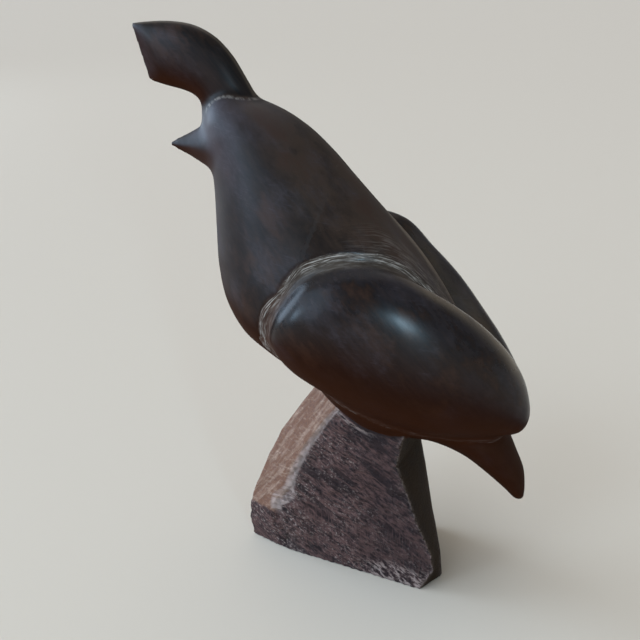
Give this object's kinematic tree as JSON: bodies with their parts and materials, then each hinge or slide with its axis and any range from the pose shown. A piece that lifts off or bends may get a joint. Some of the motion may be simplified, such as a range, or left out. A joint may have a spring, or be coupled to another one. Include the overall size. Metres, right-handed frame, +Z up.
{
  "type": "wooden quail carving",
  "caption": "Smooth leaning quail with a curved plume, pointed beak and folded wings, carved in dark wood and left standing on the rough end of its block.",
  "frame": {"origin": "on the flat underside of the base, below the belly, at ground level", "axes": "+Z up; the bird faces -X and its mid-plane is the XZ plane"},
  "size_m": [0.1252, 0.0652, 0.1776],
  "materials": {
    "dark_wood": "rubbed to a satin gloss on the bird, raw and rough on the base"
  },
  "bodies": {
    "root": {"quail_carving": "dark_wood"}
  },
  "joints": []
}
